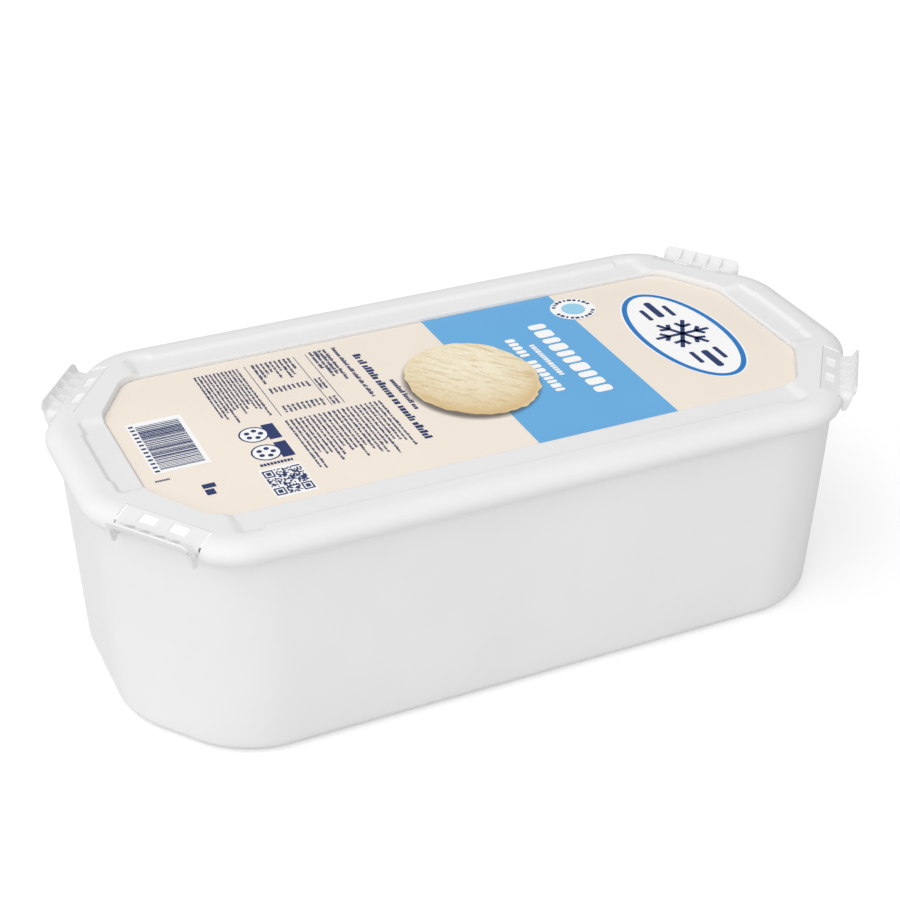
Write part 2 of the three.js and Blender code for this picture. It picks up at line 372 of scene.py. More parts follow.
tubPlastic = plasticMaterial("tubPlastic", (241, 241, 241), cloud=0.035, roughness=0.46,
                             grain=1.0, rubs=0.5, depth=0.012)
lidPlastic = plasticMaterial("lidPlastic", (238, 238, 238), cloud=0.02, roughness=0.52,
                             grain=0.7, rubs=0.6, depth=0.008)
clipPlastic = plasticMaterial("clipPlastic", (236, 236, 236), cloud=0.02, roughness=0.46,
                              grain=0.6, rubs=0.4, depth=0.008)
# Near-white sheet, lighter than the clip: painted light for the bright space seen through the clip's
# windows and slits
paintedLightSheetPlastic = plasticMaterial("paintedLightSheetPlastic", (254, 254, 255), cloud=0.01, roughness=0.30,
                             grain=0.3, rubs=0.2, depth=0.005)
creamInk = inkMaterial("creamInk", (247, 236, 223), screen=0.012, patch=0.012, roughness=0.56)
navyInk = inkMaterial("navyInk", (22, 48, 104), screen=0.10, patch=0.06, roughness=0.54)
blueInk = inkMaterial("blueInk", (103, 176, 229), screen=0.03, patch=0.02, roughness=0.55)
ringInk = inkMaterial("ringInk", (20, 122, 200), screen=0.04, patch=0.03, roughness=0.52)
paleBlueInk = inkMaterial("paleBlueInk", (158, 213, 239), screen=0.04, patch=0.03, roughness=0.54)
whiteInk = inkMaterial("whiteInk", (255, 255, 255), screen=0.01, patch=0.015, roughness=0.54)
print("finishes made")


# Lid: round bead, level crown with a groove along each side, and the label's recess

lidSpec = {
    "plan": {"halfX": lidHigh.x, "halfY": lidHigh.y, "cutX": 38.9, "cutY": 54.7, "radius": 25.0},
    "crownRise": 1.4, "crownInset": 11.5, "beadWidth": 9.0, "widestDrop": 4.4,
    "skirtTuck": 4.2, "skirtThickness": 2.1, "skirtEdge": 0.5, "skirtLean": 0.05,
    "beadSteps": 9, "skirtSteps": 6, "crownCuts": 26, "cuts": {"long": 300, "end": 56, "cut": 44},
}
recessSpec = {
    "plan": {"halfX": 150.0, "halfY": 61.3, "cutX": 17.4, "cutY": 28.4, "radius": 12.0},
    "lip": 0.3,
    "lipFalls": (0.12, 0.38),
    "draft": 0.15,
    "floorDrop": 1.9,
}
grooveSpec = {
    "long": {"half": 127.3, "outer": 74.6, "step": 116.0, "widening": 2.2},
    "end": {"half": 30.5, "outer": 162.5, "step": 19.0, "widening": -1.1},
    "slope": 2.2,
    "stepRun": 1.4,
    "margin": 4,
}
# Clip, a line or two each for its hinge, strap, tab, cheeks, windows, slits, the painted-light sheets in
# them, ribs and mesh
clipSpec = {
    "hinge": (148.0, 55.5), "facing": (0.808, 0.590), "half": 19.4,
    "start": -0.8, "hingeReach": 0.1, "hingeDrop": 0.75,
    "reach": 8.5, "drop": 2.6, "curve": 1.2, "thickness": 1.0,
    "tipOut": 14.9, "plateUp": -0.3, "lipStart": 0.72, "lipUp": 3.15, "bendShare": 0.35,
    "cheekRound": 3.6, "cheekDrop": 4.4, "cheekTuck": 0.22, "cheekCurve": 0.22,
    "windowOut": (1.7, 6.1), "windowAlong": (3.3, 11.1), "lightSheetDrop": 0.45, "lightSheetLap": 0.4,
    "slitOut": (0.3, 7.9), "slitAlong": (19.3, 20.9), "slitDrop": 0.05,
    "lightSheetThickness": 0.4, "lightSheetSegments": 8,
    "ribPitch": 7.0, "ribCount": 4, "ribWidth": 0.9, "ribHeight": 1.0,
    "ribMargin": 0.3, "ribTipDrop": 0.15, "ribRoot": 0.5,
    "segments": (44, 112), "sharp": 50, "softening": 0.22,
}
notchSpec = {"half": 20.3, "floor": -3.2, "open": 5.8, "foot": -14.0, "far": 24.0, "top": 6.0}
corners = [(1, 1), (-1, 1), (-1, -1), (1, -1)]


# How far a place on the crown lies in a groove, from 0 outside to 1 on its floor
def grooveDepth(along, across, groove):
    step = smooth(abs(along), groove["step"], groove["step"] + grooveSpec["stepRun"])
    outer = groove["outer"] + groove["widening"] * step
    ends = smooth(groove["half"] - abs(along), 0, grooveSpec["slope"])
    side = smooth(outer - abs(across), 0, grooveSpec["slope"])
    return ends * side


def crownDepth(x, y):
    onSide = abs(y) > recessSpec["plan"]["halfY"] - grooveSpec["margin"]
    longDepth = grooveDepth(x, y, grooveSpec["long"]) if onSide else 0.0
    onEnd = abs(x) > recessSpec["plan"]["halfX"] - grooveSpec["margin"]
    endDepth = grooveDepth(y, x, grooveSpec["end"]) if onEnd else 0.0
    return max(longDepth, endDepth)


# Frame of the clip at a corner: x out from the hinge line, y along it, z from the shelf
def cornerFrame(signX, signY):
    hingeX, hingeY = clipSpec["hinge"]
    facingX, facingY = clipSpec["facing"]
    turn = Matrix.Rotation(math.atan2(signY * facingY, signX * facingX), 4, "Z")
    return Matrix.Translation((signX * hingeX, signY * hingeY, shelf)) @ turn


def makeLid():
    spec, recess = lidSpec, recessSpec
    crown = shelf + spec["crownRise"]
    widest = shelf - spec["widestDrop"]
    floor = shelf - recess["floorDrop"]
    bm = bmesh.new()
    bead = quarterArc(spec["beadSteps"], lambda angle: (
        spec["beadWidth"] * (1 - math.sin(angle)), widest + (crown - widest) * math.cos(angle)))
    bead = list(reversed(bead)) + [(spec["crownInset"], crown)]
    skirt = quarterArc(spec["skirtSteps"], lambda angle: (
        spec["skirtTuck"] * (1 - math.cos(angle)), widest - (widest - lidLow.z) * math.sin(angle)))
    skirtInner = spec["skirtTuck"] + spec["skirtThickness"]
    skirt += [(spec["skirtTuck"] + spec["skirtEdge"], lidLow.z), (skirtInner, lidLow.z),
              (skirtInner + spec["skirtLean"], widest)]
    top = planFace(bm, spec["plan"], 0, widest, spec["cuts"])
    walkFace(bm, top, profileSteps(bead))
    outerEdges = list(top.edges)
    bmesh.ops.delete(bm, geom=[top], context="FACES_ONLY")
    inner = planFace(bm, recess["plan"], -recess["lip"], crown, spec["cuts"])
    bridge = bmesh.ops.bridge_loops(bm, edges=outerEdges + list(inner.edges))
    bmesh.ops.subdivide_edges(bm, edges=bridge["edges"], cuts=spec["crownCuts"], use_grid_fill=True)
    walkFace(bm, inner, [(recess["lip"] / 2, -fall) for fall in recess["lipFalls"]])
    walkFace(bm, inner, [(recess["draft"], floor - crown + sum(recess["lipFalls"]))])
    under = planFace(bm, spec["plan"], 0, widest, spec["cuts"])
    under.normal_flip()
    walkFace(bm, under, profileSteps(skirt, -1))
    grooveShare = spec["crownRise"] / (crown - floor)
    tolerance = 0.05
    for vert in bm.verts:
        depth = crownDepth(vert.co.x, vert.co.y) if vert.co.z > floor + tolerance else 0.0
        if depth > 0:
            vert.co.z = floor + (vert.co.z - floor) * (1 - depth * grooveShare)
    cutNotches(finishPiece("lid_body", bm, [lidPlastic], "lid"))


# Open space for the four clips, cut out of the lid's rim
def cutNotches(lid):
    spec = notchSpec
    bm = bmesh.new()
    for signX, signY in corners:
        made = bmesh.ops.create_cube(bm, size=1)["verts"]
        bmesh.ops.scale(bm, vec=(spec["far"], 2 * spec["half"], spec["top"] - spec["floor"]), verts=made)
        bmesh.ops.translate(bm, vec=(spec["far"] / 2, 0, (spec["top"] + spec["floor"]) / 2), verts=made)
        edges = list(dict.fromkeys(edge for vert in made for edge in vert.link_edges))
        cut = bmesh.ops.bisect_plane(bm, geom=made + edges + facesOf(made), dist=0.001,
                                     plane_co=(spec["open"], 0, 0), plane_no=(1, 0, 0))
        block = [item for item in cut["geom"] if isinstance(item, bmesh.types.BMFace)]
        lower = [face for face in block if face.normal.z < -0.9
                 and face.calc_center_median().x > spec["open"]]
        pushed = bmesh.ops.extrude_face_region(bm, geom=lower)["geom"]
        foot = [item for item in pushed if isinstance(item, bmesh.types.BMVert)]
        bmesh.ops.translate(bm, vec=(0, 0, spec["foot"] - spec["floor"]), verts=foot)
        shape = dict.fromkeys(vert for face in block if face.is_valid for vert in face.verts)
        shape.update(dict.fromkeys(foot))
        bmesh.ops.transform(bm, matrix=cornerFrame(signX, signY), verts=list(shape))
    bmesh.ops.recalc_face_normals(bm, faces=bm.faces[:])
    bmesh.ops.scale(bm, vec=(mm, mm, mm), verts=bm.verts[:])
    cutter = meshObject("notches", bm)
    modifier = lid.modifiers.new("notches", "BOOLEAN")
    modifier.operation = "DIFFERENCE"
    modifier.solver = "EXACT"
    modifier.object = cutter
    with bpy.context.temp_override(object=lid, active_object=lid, selected_objects=[lid]):
        bpy.ops.object.modifier_apply(modifier=modifier.name)
    bpy.data.objects.remove(cutter)
    lid.data.set_sharp_from_angle(angle=math.radians(sharpAngle))


# Height of the strap and of the tab's plate over the distance out from the hinge line
def clipHeight(out):
    spec = clipSpec
    top = lidSpec["crownRise"]
    if out < spec["hingeReach"]:
        return top - spec["hingeDrop"]
    if out <= spec["reach"]:
        return top - spec["drop"] * (out / spec["reach"]) ** spec["curve"]
    share = (out - spec["reach"]) / (spec["tipOut"] - spec["reach"])
    rise = blend(top - spec["drop"], spec["plateUp"], share)
    lipShare = max(share - spec["lipStart"], 0.0) / (1 - spec["lipStart"])
    return rise + spec["lipUp"] * lipShare ** spec["curve"]


# Place of a clip's skin: the strap is level along the hinge, the tab's ends turn down into hanging cheeks
def clipPoint(out, along):
    spec = clipSpec
    z = clipHeight(out)
    radius = spec["cheekRound"]
    straight = spec["half"] - radius
    past = max(abs(along) - straight, 0.0)
    flat = min(straight + past * radius / clipOverrun(), spec["half"])
    if past == 0.0 or out <= spec["reach"]:
        side = abs(along) if past == 0.0 else flat
        return Vector((out, math.copysign(side, along), z))
    share = (out - spec["reach"]) / (spec["tipOut"] - spec["reach"])
    bend = smooth(share, 0.0, spec["bendShare"])
    angle = min(past / radius, math.pi / 2)
    fall = radius * (1 - math.cos(angle)) + max(past - radius * math.pi / 2, 0.0)
    fall *= 1 - spec["cheekCurve"] * (2 * share - 1.1) ** 2
    tuck = 1 - spec["cheekTuck"] * fall / (spec["cheekDrop"] + radius)
    side = blend(flat, straight + radius * math.sin(angle), bend)
    outward = spec["reach"] + (out - spec["reach"]) * blend(1, tuck, bend)
    return Vector((outward, math.copysign(side, along), z - fall * bend))


# Length of skin in one cheek, round its shoulder and down
def clipOverrun():
    return clipSpec["cheekRound"] * math.pi / 2 + clipSpec["cheekDrop"]


# Clip: hinged strap with two windows, and a flared finger tab with a lip, ribs and hanging cheeks
def makeClip(name, signX, signY):
    spec = clipSpec
    bm = bmesh.new()
    segmentsOut, segmentsAlong = spec["segments"]
    bmesh.ops.create_grid(bm, x_segments=segmentsOut, y_segments=segmentsAlong, size=0.5)
    reachAlong = spec["half"] - spec["cheekRound"] + clipOverrun()
    for vert in bm.verts:
        vert.co = (blend(spec["start"], spec["tipOut"], vert.co.x + 0.5), vert.co.y * 2 * reachAlong, 0)
    windowStart, windowEnd = spec["windowOut"]
    windowNear, windowFar = spec["windowAlong"]
    windows = [face for face in bm.faces
               if windowStart < face.calc_center_median().x < windowEnd
               and windowNear < abs(face.calc_center_median().y) < windowFar]
    bmesh.ops.delete(bm, geom=windows, context="FACES")
    for vert in bm.verts:
        vert.co = clipPoint(vert.co.x, vert.co.y)
    bmesh.ops.recalc_face_normals(bm, faces=bm.faces[:])
    if sum(face.normal.z for face in bm.faces) < 0:
        bmesh.ops.reverse_faces(bm, faces=bm.faces[:])
    bmesh.ops.solidify(bm, geom=bm.faces[:], thickness=spec["thickness"])
    # Near-white sheets in the windows and slits: painted light for the bright space seen through them
    addWindowLightSheets(bm)
    addSlitLightSheets(bm)
    addTabRibs(bm)
    bmesh.ops.transform(bm, matrix=cornerFrame(signX, signY), verts=bm.verts[:])
    piece = finishPiece(name, bm, [clipPlastic, paintedLightSheetPlastic], "lid", sharp=spec["sharp"])
    soften = piece.modifiers.new("soften", "BEVEL")
    soften.limit_method = "ANGLE"
    soften.angle_limit = math.radians(spec["sharp"])
    soften.width = spec["softening"] * mm
    soften.segments = 2


# Thin near-white sheet that follows the strap a little under its skin, painted light for the bright space
# seen through the strap's openings
def addPaintedLightSheet(bm, outs, alongs, drop):
    count = clipSpec["lightSheetSegments"]
    web = bmesh.ops.create_grid(bm, x_segments=count, y_segments=count, size=0.5)["verts"]
    for vert in web:
        out = blend(*outs, vert.co.x + 0.5)
        vert.co = (out, blend(*alongs, vert.co.y + 0.5), clipHeight(out) - drop)
    faces = facesOf(web)
    # The sheet takes the second material, the near-white of painted light
    for face in faces:
        face.material_index = 1
    bmesh.ops.solidify(bm, geom=faces, thickness=clipSpec["lightSheetThickness"])


# Painted-light sheets under the two windows, lapping a little past their edges
def addWindowLightSheets(bm):
    spec = clipSpec
    laps = (-spec["lightSheetLap"], spec["lightSheetLap"])
    outs = [place + lap for place, lap in zip(spec["windowOut"], laps)]
    for side in (-1, 1):
        alongs = [side * (place + lap) for place, lap in zip(spec["windowAlong"], laps)]
        addPaintedLightSheet(bm, outs, alongs, spec["lightSheetDrop"])


# The same painted-light sheet shows in the slit at each side of the strap
def addSlitLightSheets(bm):
    spec = clipSpec
    for side in (-1, 1):
        addPaintedLightSheet(bm, spec["slitOut"], [side * place for place in spec["slitAlong"]], spec["slitDrop"])


# Low walls across the tab's plate, each rising from the root and ending in the lip
def addTabRibs(bm):
    spec = clipSpec
    for index in range(spec["ribCount"]):
        along = spec["ribPitch"] * (index - (spec["ribCount"] - 1) / 2)
        rib = bmesh.ops.create_grid(bm, x_segments=8, y_segments=1, size=0.5)["verts"]
        for vert in rib:
            share = vert.co.x + 0.5
            out = blend(spec["reach"] - spec["ribMargin"], spec["tipOut"] - spec["ribMargin"], share)
            tip = clipHeight(spec["tipOut"]) - spec["ribTipDrop"]
            chord = blend(clipHeight(spec["reach"]), tip, share)
            z = chord + spec["ribHeight"] * share * (1 - share)
            vert.co = (out, along + vert.co.y * spec["ribWidth"], z)
        pushed = bmesh.ops.extrude_face_region(bm, geom=facesOf(rib), use_keep_orig=True)["geom"]
        for vert in [item for item in pushed if isinstance(item, bmesh.types.BMVert)]:
            vert.co.z = clipHeight(vert.co.x) - spec["ribRoot"]


# Tub: wall that leans in and swells a little, round foot, and a flange and rim inside the lid's skirt

wallInset = 4.5    # the wall's top lies this far inside the lid's widest line
tubSpec = {
    "plan": {"halfX": lidHigh.x - wallInset, "halfY": lidHigh.y - wallInset,
             "cutX": 36.0, "cutY": 47.0, "radius": 44.0},
    "top": 96.0, "taper": 0.047, "foot": 5.5, "swell": 0.9, "swellReach": 1.05,
    "flangeInset": 5.8, "flangeLow": 96.0, "flangeHigh": 96.1,
    "rimInset": 6.6, "rimTop": 101.3, "rimLean": 0.02,
    "catchTop": 100.0, "catchHalf": 18.5,
    "wallSteps": 20, "footSteps": 8, "arcSteps": 12, "cuts": {"long": 90, "end": 18, "cut": 14},
}


# The wall is carried up at each corner as a catch that the clip closes over
def raiseCatches(verts):
    turns = [cornerFrame(*sign).inverted() for sign in corners]
    for vert in verts:
        places = [turn @ vert.co for turn in turns]
        if any(place.x > 0 and abs(place.y) < tubSpec["catchHalf"] for place in places):
            vert.co.z = tubSpec["catchTop"]


def makeTub():
    spec = tubSpec
    bm = bmesh.new()
    top, radius, taper, count = spec["top"], spec["foot"], spec["taper"], spec["wallSteps"]
    straight = top - radius
    wall = [(taper * straight * step / count, top - straight * step / count) for step in range(count + 1)]
    foot = quarterArc(spec["footSteps"], lambda angle: (
        taper * (top - radius * (1 - math.sin(angle))) + radius * (1 - math.cos(angle)),
        radius * (1 - math.sin(angle))))
    under = planFace(bm, spec["plan"], 0, top, spec["cuts"], spec["arcSteps"])
    under.normal_flip()
    walkFace(bm, under, profileSteps(wall + foot[1:], -1))
    for vert in bm.verts:
        share = (top - vert.co.z) / top
        lift = math.sin(math.pi * min(share * spec["swellReach"], 1.0)) * spec["swell"]
        middle = max(0, 1 - (vert.co.x / spec["plan"]["halfX"]) ** 4)
        vert.co.y += math.copysign(lift * middle, vert.co.y)
    raiseCatches([vert for vert in bm.verts if vert.is_boundary])
    rim = planFace(bm, lidSpec["plan"], spec["flangeInset"], spec["flangeLow"], spec["cuts"],
                   spec["arcSteps"])
    walkFace(bm, rim, [(0, spec["flangeHigh"] - spec["flangeLow"]),
                       (spec["rimInset"] - spec["flangeInset"], 0),
                       (spec["rimLean"], spec["rimTop"] - spec["flangeHigh"])])
    bmesh.ops.bridge_loops(bm, edges=[edge for edge in bm.edges if edge.is_boundary])
    finishPiece("tub_body", bm, [tubPlastic], "tub")


makeTub()
makeLid()
clipNames = ("clip_back_right", "clip_back_left", "clip_front_left", "clip_front_right")
for clipName, sign in zip(clipNames, corners):
    makeClip(clipName, *sign)
print("tub, lid and clips made")


# Label: cream film in the recess. Print lies on it as thin fields, each a step higher than the last

labelSpec = {
    "inset": 0.8,
    "edge": ((0, 0.1), (0.4, 0.35), (0.4, 0.25), (0.4, 0.18), (0.4, 0.12)),
    "step": 0.045,
    "fieldX": (7.9, 73.4),
    "halfWidth": 60.3,
}
tabLayer = 0.6
groundLayer = 1
printLayer = 2
markLayer = 3
shadowLayer = 3.4
topLayer = 4


def inkLevel(layer):
    return labelTop + labelSpec["step"] * layer


# Film whose edge is rounded over in steps of (inset, share of the thickness)
def makeLabel():
    bm = bmesh.new()
    under = planFace(bm, recessSpec["plan"], labelSpec["inset"], labelLow.z, lidSpec["cuts"])
    under.normal_flip()
    film = planFace(bm, recessSpec["plan"], labelSpec["inset"], labelLow.z, lidSpec["cuts"])
    rise = labelTop - labelLow.z
    walkFace(bm, film, [(inset, rise * share) for inset, share in labelSpec["edge"]])
    finishPiece("label_film", bm, [creamInk], "label")


def addRectangle(bm, matrix):
    bmesh.ops.create_grid(bm, x_segments=1, y_segments=1, size=0.5, matrix=matrix)


def addBar(bm, x0, x1, y0, y1, layer=printLayer):
    place = Matrix.Translation(((x0 + x1) / 2, (y0 + y1) / 2, inkLevel(layer)))
    addRectangle(bm, place @ Matrix.Diagonal((abs(x1 - x0), abs(y1 - y0), 1, 1)))


# Bar along Y whose corners are rounded by a share of its height
def addRoundBar(bm, x, y0, y1, height, roundShare):
    made = bmesh.ops.create_grid(bm, x_segments=1, y_segments=1, size=0.5)["verts"]
    bmesh.ops.scale(bm, vec=(height, abs(y1 - y0), 1), verts=made)
    bmesh.ops.translate(bm, vec=(x, (y0 + y1) / 2, inkLevel(markLayer)), verts=made)
    bmesh.ops.bevel(bm, geom=made, offset=height * roundShare, offset_type="OFFSET", segments=5,
                    profile=0.5, affect="VERTICES", material=-1)


def addDisc(bm, x, y, radiusX, radiusY, layer, segments=64):
    place = Matrix.Translation((x, y, inkLevel(layer)))
    matrix = place @ Matrix.Diagonal((radiusX, radiusY, 1, 1))
    return bmesh.ops.create_circle(bm, cap_ends=True, segments=segments, radius=1, matrix=matrix)["verts"]


# An ellipse (x, y, radiusX, radiusY) with more on both radii
def grown(ellipse, more):
    x, y, radiusX, radiusY = ellipse
    return x, y, radiusX + more, radiusY + more


def addRing(bm, x, y, radiusX, radiusY, width, segments=64):
    before = set(bm.faces)
    addDisc(bm, x, y, radiusX, radiusY, printLayer, segments)
    face = newFace(bm, before)
    bmesh.ops.inset_individual(bm, faces=[face], thickness=width, use_even_offset=True)
    bmesh.ops.delete(bm, geom=[face], context="FACES_ONLY")


# Small blocks in place of letters: shares of the height of their line
blockSpec = {
    "runs": (2, 3, 4, 5, 6, 7, 8), "widths": (0.38, 0.66), "rises": (0.72, 0.72, 0.72, 1.0),
    "foot": 0.36, "space": 0.16, "wordSpace": 0.34, "acrossWidth": 0.56, "acrossPitch": 0.76,
}


# Row of small blocks in word-like runs from y0 towards y1, in place of a line of small print
def addPrintRow(bm, rng, x, y0, y1, height):
    spec = blockSpec
    y = y0
    sign = -1 if y1 < y0 else 1
    while abs(y - y0) < abs(y1 - y0):
        for _ in range(rng.choice(spec["runs"])):
            width = height * rng.uniform(*spec["widths"])
            if abs(y + sign * width - y0) > abs(y1 - y0):
                return
            rise = height * rng.choice(spec["rises"])
            foot = x - height * spec["foot"]
            addBar(bm, foot, foot + rise, y, y + sign * width)
            y += sign * (width + height * spec["space"])
        y += sign * height * spec["wordSpace"]


# The same blocks along X
def addPrintAcross(bm, y, start, end, height):
    x = start
    while x < end:
        addBar(bm, x, min(x + height * blockSpec["acrossWidth"], end), y - height / 2, y + height / 2)
        x += height * blockSpec["acrossPitch"]


def addPrintBlock(bm, rng, block):
    for row in range(int(abs(block["top"] - block["foot"]) / block["pitch"])):
        x = block["top"] - row * block["pitch"]
        addPrintRow(bm, rng, x, block["start"], rng.uniform(*block["ends"]), block["height"])


smallPrint = {
    "blocks": [
        {"top": -84.5, "foot": -106.0, "pitch": 1.75, "height": 1.05, "start": 51.5, "ends": (6.0, 22.0)},
        {"top": -38.5, "foot": -84.0, "pitch": 2.1, "height": 1.12, "start": 0.2, "ends": (-44.0, -27.0)},
    ],
    "lines": [
        {"x": -38.8, "start": 53.0, "end": 4.5, "height": 1.9},
        {"x": -32.0, "start": 43.0, "end": -40.0, "height": 3.5},
        {"x": -26.4, "start": 15.0, "end": -13.5, "height": 2.3},
    ],
    "across": [
        {"y": -29.9, "start": -102.4, "end": -88.6, "height": 1.9},
        {"y": -24.4, "start": -144.4, "end": -138.4, "height": 1.2},
    ],
    "address": {"top": -43.2, "pitch": 2.2, "height": 1.6, "start": 53.0, "lengths": (30, 24, 26, 17)},
    "bars": [(-128.6, -123.2, -34.0, -37.2), (-128.6, -124.8, -38.2, -42.4)],
}
tableSpec = {
    "rules": (-80.7, -57.8, -52.2), "ruleWidth": 0.28, "start": 52.0, "end": 4.5, "top": -60.5,
    "pitch": 2.1, "rows": 9, "height": 1.25, "names": (32.0, 42.0),
    "columns": ((29.0, 24.0), (12.5, 6.0)), "headRows": (-54.4, -56.3),
    "heads": ((29.5, 19.0), (12.0, 4.8)),
}
barcodeSpec = {
    "patchX": (-143.0, -119.0), "patchY": (-19.0, 23.6), "barsX": (-139.6, -121.0),
    "barsY": (-16.5, 20.6), "module": 0.36, "digits": 13, "digitsX": (-142.2, -140.2),
    "digitsY": (21.5, -16.5), "digitWidth": 1.25,
}
codeSpec = {"patchX": (-104.5, -87.0), "patchY": (-55.5, -33.0), "x": -95.8, "y": -44.3, "cells": 25,
            "cell": 0.64, "stretch": 1.2}
roundelSpec = {
    "places": ((-96.6, -5.4), (-96.6, -20.8)), "ring": 6.3, "width": 0.7, "dots": 5, "dotReach": 3,
    "dotRadius": 1.15, "tab": (5.1, 10.4),
}


# Table of small print between thin rules, with two columns of figures
def addTable(bm, rng):
    spec = tableSpec
    for rule in spec["rules"]:
        addBar(bm, rule - spec["ruleWidth"] / 2, rule + spec["ruleWidth"] / 2, spec["start"], spec["end"])
    for row in range(spec["rows"]):
        x = spec["top"] - row * spec["pitch"]
        addPrintRow(bm, rng, x, spec["start"], rng.uniform(*spec["names"]), spec["height"])
        for start, end in spec["columns"]:
            addPrintRow(bm, rng, x, start, end, spec["height"])
    for x in spec["headRows"]:
        for start, end in spec["heads"]:
            addPrintRow(bm, rng, x, start, end, spec["height"])


def makeNavyPrint():
    rng = random.Random(31)
    bm = bmesh.new()
    for block in smallPrint["blocks"]:
        addPrintBlock(bm, rng, block)
    for line in smallPrint["lines"]:
        addPrintRow(bm, rng, line["x"], line["start"], line["end"], line["height"])
    addTable(bm, rng)
    address = smallPrint["address"]
    for row, length in enumerate(address["lengths"]):
        x = address["top"] - row * address["pitch"]
        addPrintRow(bm, rng, x, address["start"], address["start"] - length, address["height"])
    addBarcode(bm, rng)
    addCodeSquare(bm, rng)
    addRoundels(bm)
    for line in smallPrint["across"]:
        addPrintAcross(bm, line["y"], line["start"], line["end"], line["height"])
    for bar in smallPrint["bars"]:
        addBar(bm, *bar)
    finishPrint("print_navy", bm, navyInk)


def addBarcode(bm, rng):
    spec = barcodeSpec
    y, end = spec["barsY"]
    while y < end:
        width = spec["module"] * rng.choice((1, 1, 2, 3))
        addBar(bm, *spec["barsX"], y, min(y + width, end), markLayer)
        y += width + spec["module"] * rng.choice((1, 1, 2, 2))
    for index in range(spec["digits"]):
        y = blend(*spec["digitsY"], index / (spec["digits"] - 1))
        addBar(bm, *spec["digitsX"], y, y - spec["digitWidth"], markLayer)


# Square code of random cells, with a framed square in three corners
def addCodeSquare(bm, rng):
    spec = codeSpec
    count, cell, length = spec["cells"], spec["cell"], spec["cell"] * spec["stretch"]
    eyes = ((3, 3), (3, count - 4), (count - 4, 3))
    for row in range(count):
        for column in range(count):
            away = min(max(abs(row - a), abs(column - b)) for a, b in eyes)
            dark = away in (0, 1, 3) if away < 5 else rng.random() < 0.5
            if dark:
                x = spec["x"] + (row - count / 2) * cell
                y = spec["y"] + (column - count / 2) * cell * spec["stretch"]
                addBar(bm, x, x + cell, y, y + length, markLayer)


# Ring with dots in it, and a dark tab behind each ring's far side
def addRoundels(bm):
    spec = roundelSpec
    ring, reach, dot = spec["ring"], spec["dotReach"], spec["dotRadius"]
    for x, y in spec["places"]:
        addRing(bm, x, y, ring, ring, spec["width"])
        for step in range(spec["dots"]):
            angle = math.radians(360 / spec["dots"] * step)
            addDisc(bm, x + reach * math.cos(angle), y + reach * math.sin(angle), dot, dot, markLayer, 12)
        tabStart, tabEnd = spec["tab"]
        addBar(bm, x + tabStart, x + tabEnd, y - ring, y + ring, tabLayer)


# Rows of plain rounded blocks on the blue field. Widths and the space are shares of the row's height
frontRows = [
    {"x": 54.0, "start": 36.0, "end": -32.0, "height": 8.5},
    {"x": 43.6, "start": 19.0, "end": -12.7, "height": 2.6},
    {"x": 36.6, "start": 27.7, "end": 10.0, "height": 4.6},
    {"x": 36.6, "start": 5.5, "end": -24.0, "height": 4.6},
]
frontBlock = {"widths": (0.5, 0.8), "space": 0.18, "round": 0.22}
emblemSpec = {
    "ellipse": (111.5, 1.0, 20.5, 43.0),
    "border": 2.4,
    "halo": 0.9,
    "segments": 96,
    "star": 13.5,
    "starWidth": 2.0,
    "bars": (
        {"x": 0, "from": 18, "to": 34, "height": 3.4},
        {"x": 6, "from": 17, "to": 28, "height": 2.2},
        {"x": -6, "from": 17, "to": 28, "height": 2.2},
    ),
    "barRound": 0.4,
}
badgeSpec = {
    "x": 77.7, "y": 43.2, "radius": 11.2, "edge": 0.4, "disc": 5.6, "dashes": 24, "dashInset": 2.1,
    "dashRise": 1.7, "dashWidths": (1.0, 1.5, 2.0),
}


def addFrontRow(bm, rng, row):
    spec, height = frontBlock, row["height"]
    shortest, longest = spec["widths"]
    y = row["start"]
    while y - height * shortest > row["end"]:
        foot = max(y - height * rng.uniform(shortest, longest), row["end"])
        addRoundBar(bm, row["x"], y, foot, height, spec["round"])
        y = foot - height * spec["space"]


# White: grounds of the codes, roundels, emblem and badge, and the blocks on the blue field
def makeWhitePrint():
    emblem, badge = emblemSpec, badgeSpec
    bm = bmesh.new()
    for spec in (barcodeSpec, codeSpec):
        addBar(bm, *spec["patchX"], *spec["patchY"], groundLayer)
    for x, y in roundelSpec["places"]:
        addDisc(bm, x, y, roundelSpec["ring"], roundelSpec["ring"], groundLayer)
    rng = random.Random(8)
    for row in frontRows:
        addFrontRow(bm, rng, row)
    addDisc(bm, *grown(emblem["ellipse"], emblem["halo"]), groundLayer, emblem["segments"])
    radius = badge["radius"] - badge["edge"]
    addDisc(bm, badge["x"], badge["y"], radius, radius, markLayer)
    finishPrint("print_white", bm, whiteInk)


# Six-armed frost star, each arm with two twigs
def addStar(bm, x, y, size, thick):
    twigOut, twigSide, twigLength, twigAngle = size * 0.62, size * 0.13, size * 0.34, 50
    middle = Matrix.Translation((x, y, inkLevel(markLayer)))
    for step in range(6):
        turn = middle @ Matrix.Rotation(math.radians(60 * step), 4, "Z")
        parts = [(size / 2, 0, size, 0), (twigOut, twigSide, twigLength, twigAngle),
                 (twigOut, -twigSide, twigLength, -twigAngle)]
        for u, v, length, angle in parts:
            arm = turn @ Matrix.Translation((u, v, 0)) @ Matrix.Rotation(math.radians(angle), 4, "Z")
            addRectangle(bm, arm @ Matrix.Diagonal((length, thick, 1, 1)))


def makeBlueField():
    bm = bmesh.new()
    addBar(bm, *labelSpec["fieldX"], -labelSpec["halfWidth"], labelSpec["halfWidth"], groundLayer)
    finishPrint("print_blue_field", bm, blueInk)


def makeEmblem():
    spec = emblemSpec
    bm = bmesh.new()
    addRing(bm, *spec["ellipse"], spec["border"], spec["segments"])
    finishPrint("print_emblem_ring", bm, ringInk)


